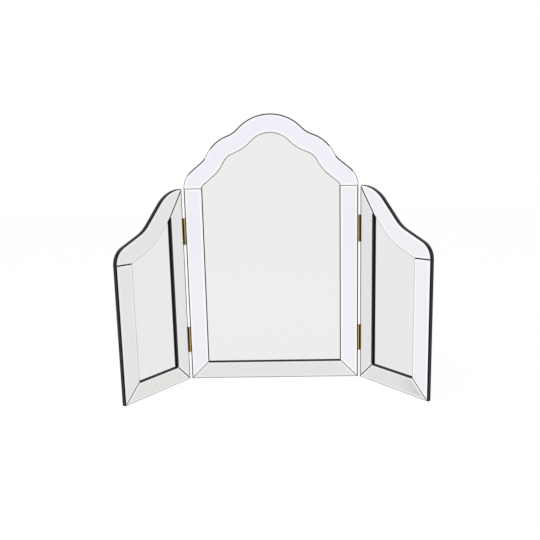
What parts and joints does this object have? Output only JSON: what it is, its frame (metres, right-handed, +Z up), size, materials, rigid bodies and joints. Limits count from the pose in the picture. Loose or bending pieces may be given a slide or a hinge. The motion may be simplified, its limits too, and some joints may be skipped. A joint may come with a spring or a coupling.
{
  "type": "tri-fold vanity mirror",
  "caption": "Free-standing tri-fold vanity mirror: a tall centre panel with a waved crown and hinged side wings, bordered with bevelled mirror strips on black backing boards.",
  "frame": {"origin": "middle of the centre board's foot, where the mirror stands on the table", "axes": "+X to the viewer's right along the centre panel, +Y away from the viewer, +Z up"},
  "size_m": [0.6367, 0.1708, 0.599],
  "materials": {
    "black_board": "black painted satin",
    "mirror_pane": "polished",
    "mirror_strip": "polished, bevelled",
    "hinge_brass": "satin, lightly tarnished"
  },
  "bodies": {
    "centre_panel": {"centre_backboard": "black_board", "centre_bottom_strip": "mirror_strip", "centre_crown_strip": "mirror_strip", "centre_left_strip": "mirror_strip", "centre_pane": "mirror_pane", "centre_right_strip": "mirror_strip", "left_lower_hinge_centre_leaf": "hinge_brass", "left_lower_hinge_pin": "hinge_brass", "left_upper_hinge_centre_leaf": "hinge_brass", "left_upper_hinge_pin": "hinge_brass", "right_lower_hinge_centre_leaf": "hinge_brass", "right_lower_hinge_pin": "hinge_brass", "right_upper_hinge_centre_leaf": "hinge_brass", "right_upper_hinge_pin": "hinge_brass"},
    "left_wing": {"left_lower_hinge_wing_leaf": "hinge_brass", "left_upper_hinge_wing_leaf": "hinge_brass", "left_wing_backboard": "black_board", "left_wing_bottom_strip": "mirror_strip", "left_wing_hinge_strip": "mirror_strip", "left_wing_outer_strip": "mirror_strip", "left_wing_pane": "mirror_pane", "left_wing_top_strip": "mirror_strip"},
    "right_wing": {"right_lower_hinge_wing_leaf": "hinge_brass", "right_upper_hinge_wing_leaf": "hinge_brass", "right_wing_backboard": "black_board", "right_wing_bottom_strip": "mirror_strip", "right_wing_hinge_strip": "mirror_strip", "right_wing_outer_strip": "mirror_strip", "right_wing_pane": "mirror_pane", "right_wing_top_strip": "mirror_strip"}
  },
  "joints": [
    {"name": "left_wing_hinge", "type": "hinge", "parent": "centre_panel", "child": "left_wing", "pos_m": [-0.1949, -0.0092, 0.2205], "axis": [0, 0, 1], "range_deg": [-55.9, 124.1]},
    {"name": "right_wing_hinge", "type": "hinge", "parent": "centre_panel", "child": "right_wing", "pos_m": [0.1949, -0.0092, 0.2205], "axis": [0, 0, -1], "range_deg": [-52.2, 127.8]}
  ]
}
